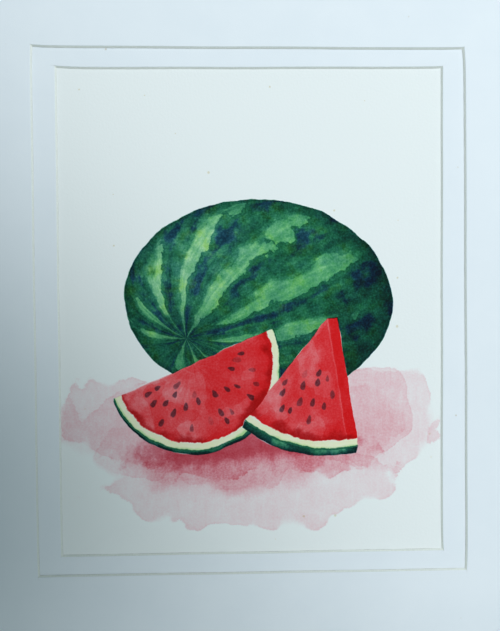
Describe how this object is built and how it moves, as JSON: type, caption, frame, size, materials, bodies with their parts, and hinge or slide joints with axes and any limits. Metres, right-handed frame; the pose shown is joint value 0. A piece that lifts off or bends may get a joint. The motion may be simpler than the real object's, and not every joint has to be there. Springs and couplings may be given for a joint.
{
  "type": "matted watercolour picture",
  "caption": "Unframed watercolour still life of a watermelon in a white double window mat with bevelled edges, hinged to a foam-core backing board.",
  "frame": {"origin": "middle of the backing board's back face, which the picture lies on", "axes": "+X to the picture's right, +Y to its top, +Z out of its face"},
  "size_m": [0.38, 0.437, 0.0081],
  "materials": {
    "mat_board": "matte",
    "painted_sheet": "matte",
    "foam_board": "matte",
    "hinge_paper": "matte",
    "mat_tape": "satin",
    "backing_tape": "satin"
  },
  "bodies": {
    "root": {"outer_mat": "mat_board", "inner_mat": "mat_board", "artwork_sheet": "painted_sheet", "backing_board": "foam_board", "hinge_tab_left": "hinge_paper", "hinge_tab_right": "hinge_paper", "hinge_strip_left": "hinge_paper", "hinge_strip_right": "hinge_paper", "mat_tape_top": "mat_tape", "mat_tape_bottom": "mat_tape", "mat_tape_left": "mat_tape", "mat_tape_right": "mat_tape", "backing_tape_top": "backing_tape", "backing_tape_bottom": "backing_tape", "backing_tape_left": "backing_tape", "backing_tape_right": "backing_tape"}
  },
  "joints": []
}
